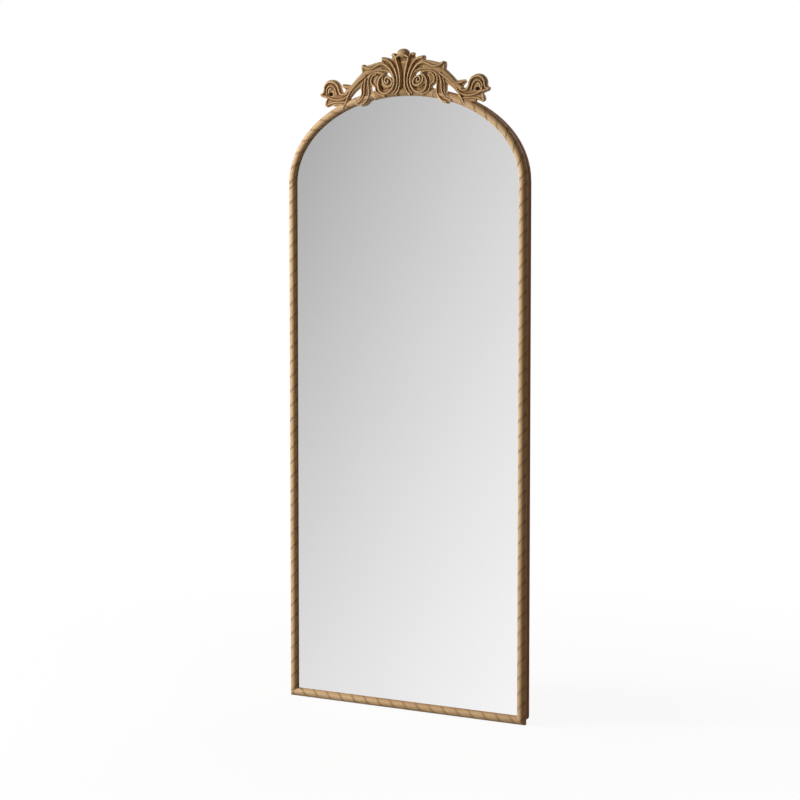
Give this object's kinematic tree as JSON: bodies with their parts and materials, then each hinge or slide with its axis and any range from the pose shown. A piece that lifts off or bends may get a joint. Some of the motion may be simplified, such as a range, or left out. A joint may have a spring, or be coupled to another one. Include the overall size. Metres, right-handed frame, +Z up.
{
  "type": "arched full length mirror",
  "caption": "Tall arched mirror in a slim half-round frame with engraved spiral lines and a pierced scroll crest, hung from swinging rings on its timber back frame.",
  "frame": {"origin": "centre of the hanging rail's back face, in the plane of the timber back frame's back", "axes": "+Z up along the mirror's height, -Y the way the glass faces, +X to the right as seen from the front"},
  "size_m": [0.762, 0.0565, 1.8812],
  "materials": {
    "carved_wood": "antiqued gold-brown, pale rubbed ridges over dark recesses, low sheen",
    "cast_crest": "cast resin, antiqued gold-brown, pale rubbed ridges over dark recesses, low sheen",
    "mirror": "silvered float glass, flat polished",
    "hardboard": "smooth brown hardboard",
    "timber": "sanded timber, unpainted",
    "tenon_wood": "planed hardwood",
    "steel": "zinc plated, satin",
    "rubber": "matt black"
  },
  "bodies": {
    "mirror": {"moulding_left": "carved_wood", "moulding_right": "carved_wood", "moulding_bottom": "carved_wood", "moulding_arch_left": "carved_wood", "moulding_arch_right": "carved_wood", "crest": "cast_crest", "mirror_glass": "mirror", "backing_board": "hardboard", "setting_block_left": "rubber", "setting_block_right": "rubber", "back_stile_left": "timber", "back_stile_right": "timber", "back_arch_left": "timber", "back_arch_right": "timber", "back_foot": "timber", "lower_rail": "timber", "hanging_rail": "timber", "loose_tenon_left": "tenon_wood", "loose_tenon_right": "tenon_wood", "loose_tenon_top": "tenon_wood", "frame_screw_side_left_1": "steel", "frame_screw_side_left_2": "steel", "frame_screw_side_left_3": "steel", "frame_screw_side_left_4": "steel", "frame_screw_side_right_1": "steel", "frame_screw_side_right_2": "steel", "frame_screw_side_right_3": "steel", "frame_screw_side_right_4": "steel", "frame_screw_arch_left_1": "steel", "frame_screw_arch_left_2": "steel", "frame_screw_arch_left_3": "steel", "frame_screw_arch_right_1": "steel", "frame_screw_arch_right_2": "steel", "frame_screw_arch_right_3": "steel", "frame_screw_foot_left": "steel", "frame_screw_foot_right": "steel", "crest_screw_inner_left": "steel", "crest_screw_outer_left": "steel", "crest_screw_inner_right": "steel", "crest_screw_outer_right": "steel", "hanger_strap_left": "steel", "hanger_strap_right": "steel", "hanger_screw_upper_left": "steel", "hanger_screw_lower_left": "steel", "hanger_screw_upper_right": "steel", "hanger_screw_lower_right": "steel", "bumper_top_left": "rubber", "bumper_top_right": "rubber", "bumper_bottom_left": "rubber", "bumper_bottom_right": "rubber", "bumper_screw_top_left": "steel", "bumper_screw_top_right": "steel", "bumper_screw_bottom_left": "steel", "bumper_screw_bottom_right": "steel"},
    "ring_left": {"hanger_ring_left": "steel"},
    "ring_right": {"hanger_ring_right": "steel"}
  },
  "joints": [
    {"name": "ring_left_swing", "type": "hinge", "parent": "mirror", "child": "ring_left", "pos_m": [-0.3585, 0.0036, -0.082], "axis": [1, 0, 0], "range_deg": [0, 180]},
    {"name": "ring_right_swing", "type": "hinge", "parent": "mirror", "child": "ring_right", "pos_m": [0.3585, 0.0036, -0.082], "axis": [1, 0, 0], "range_deg": [0, 180]}
  ]
}
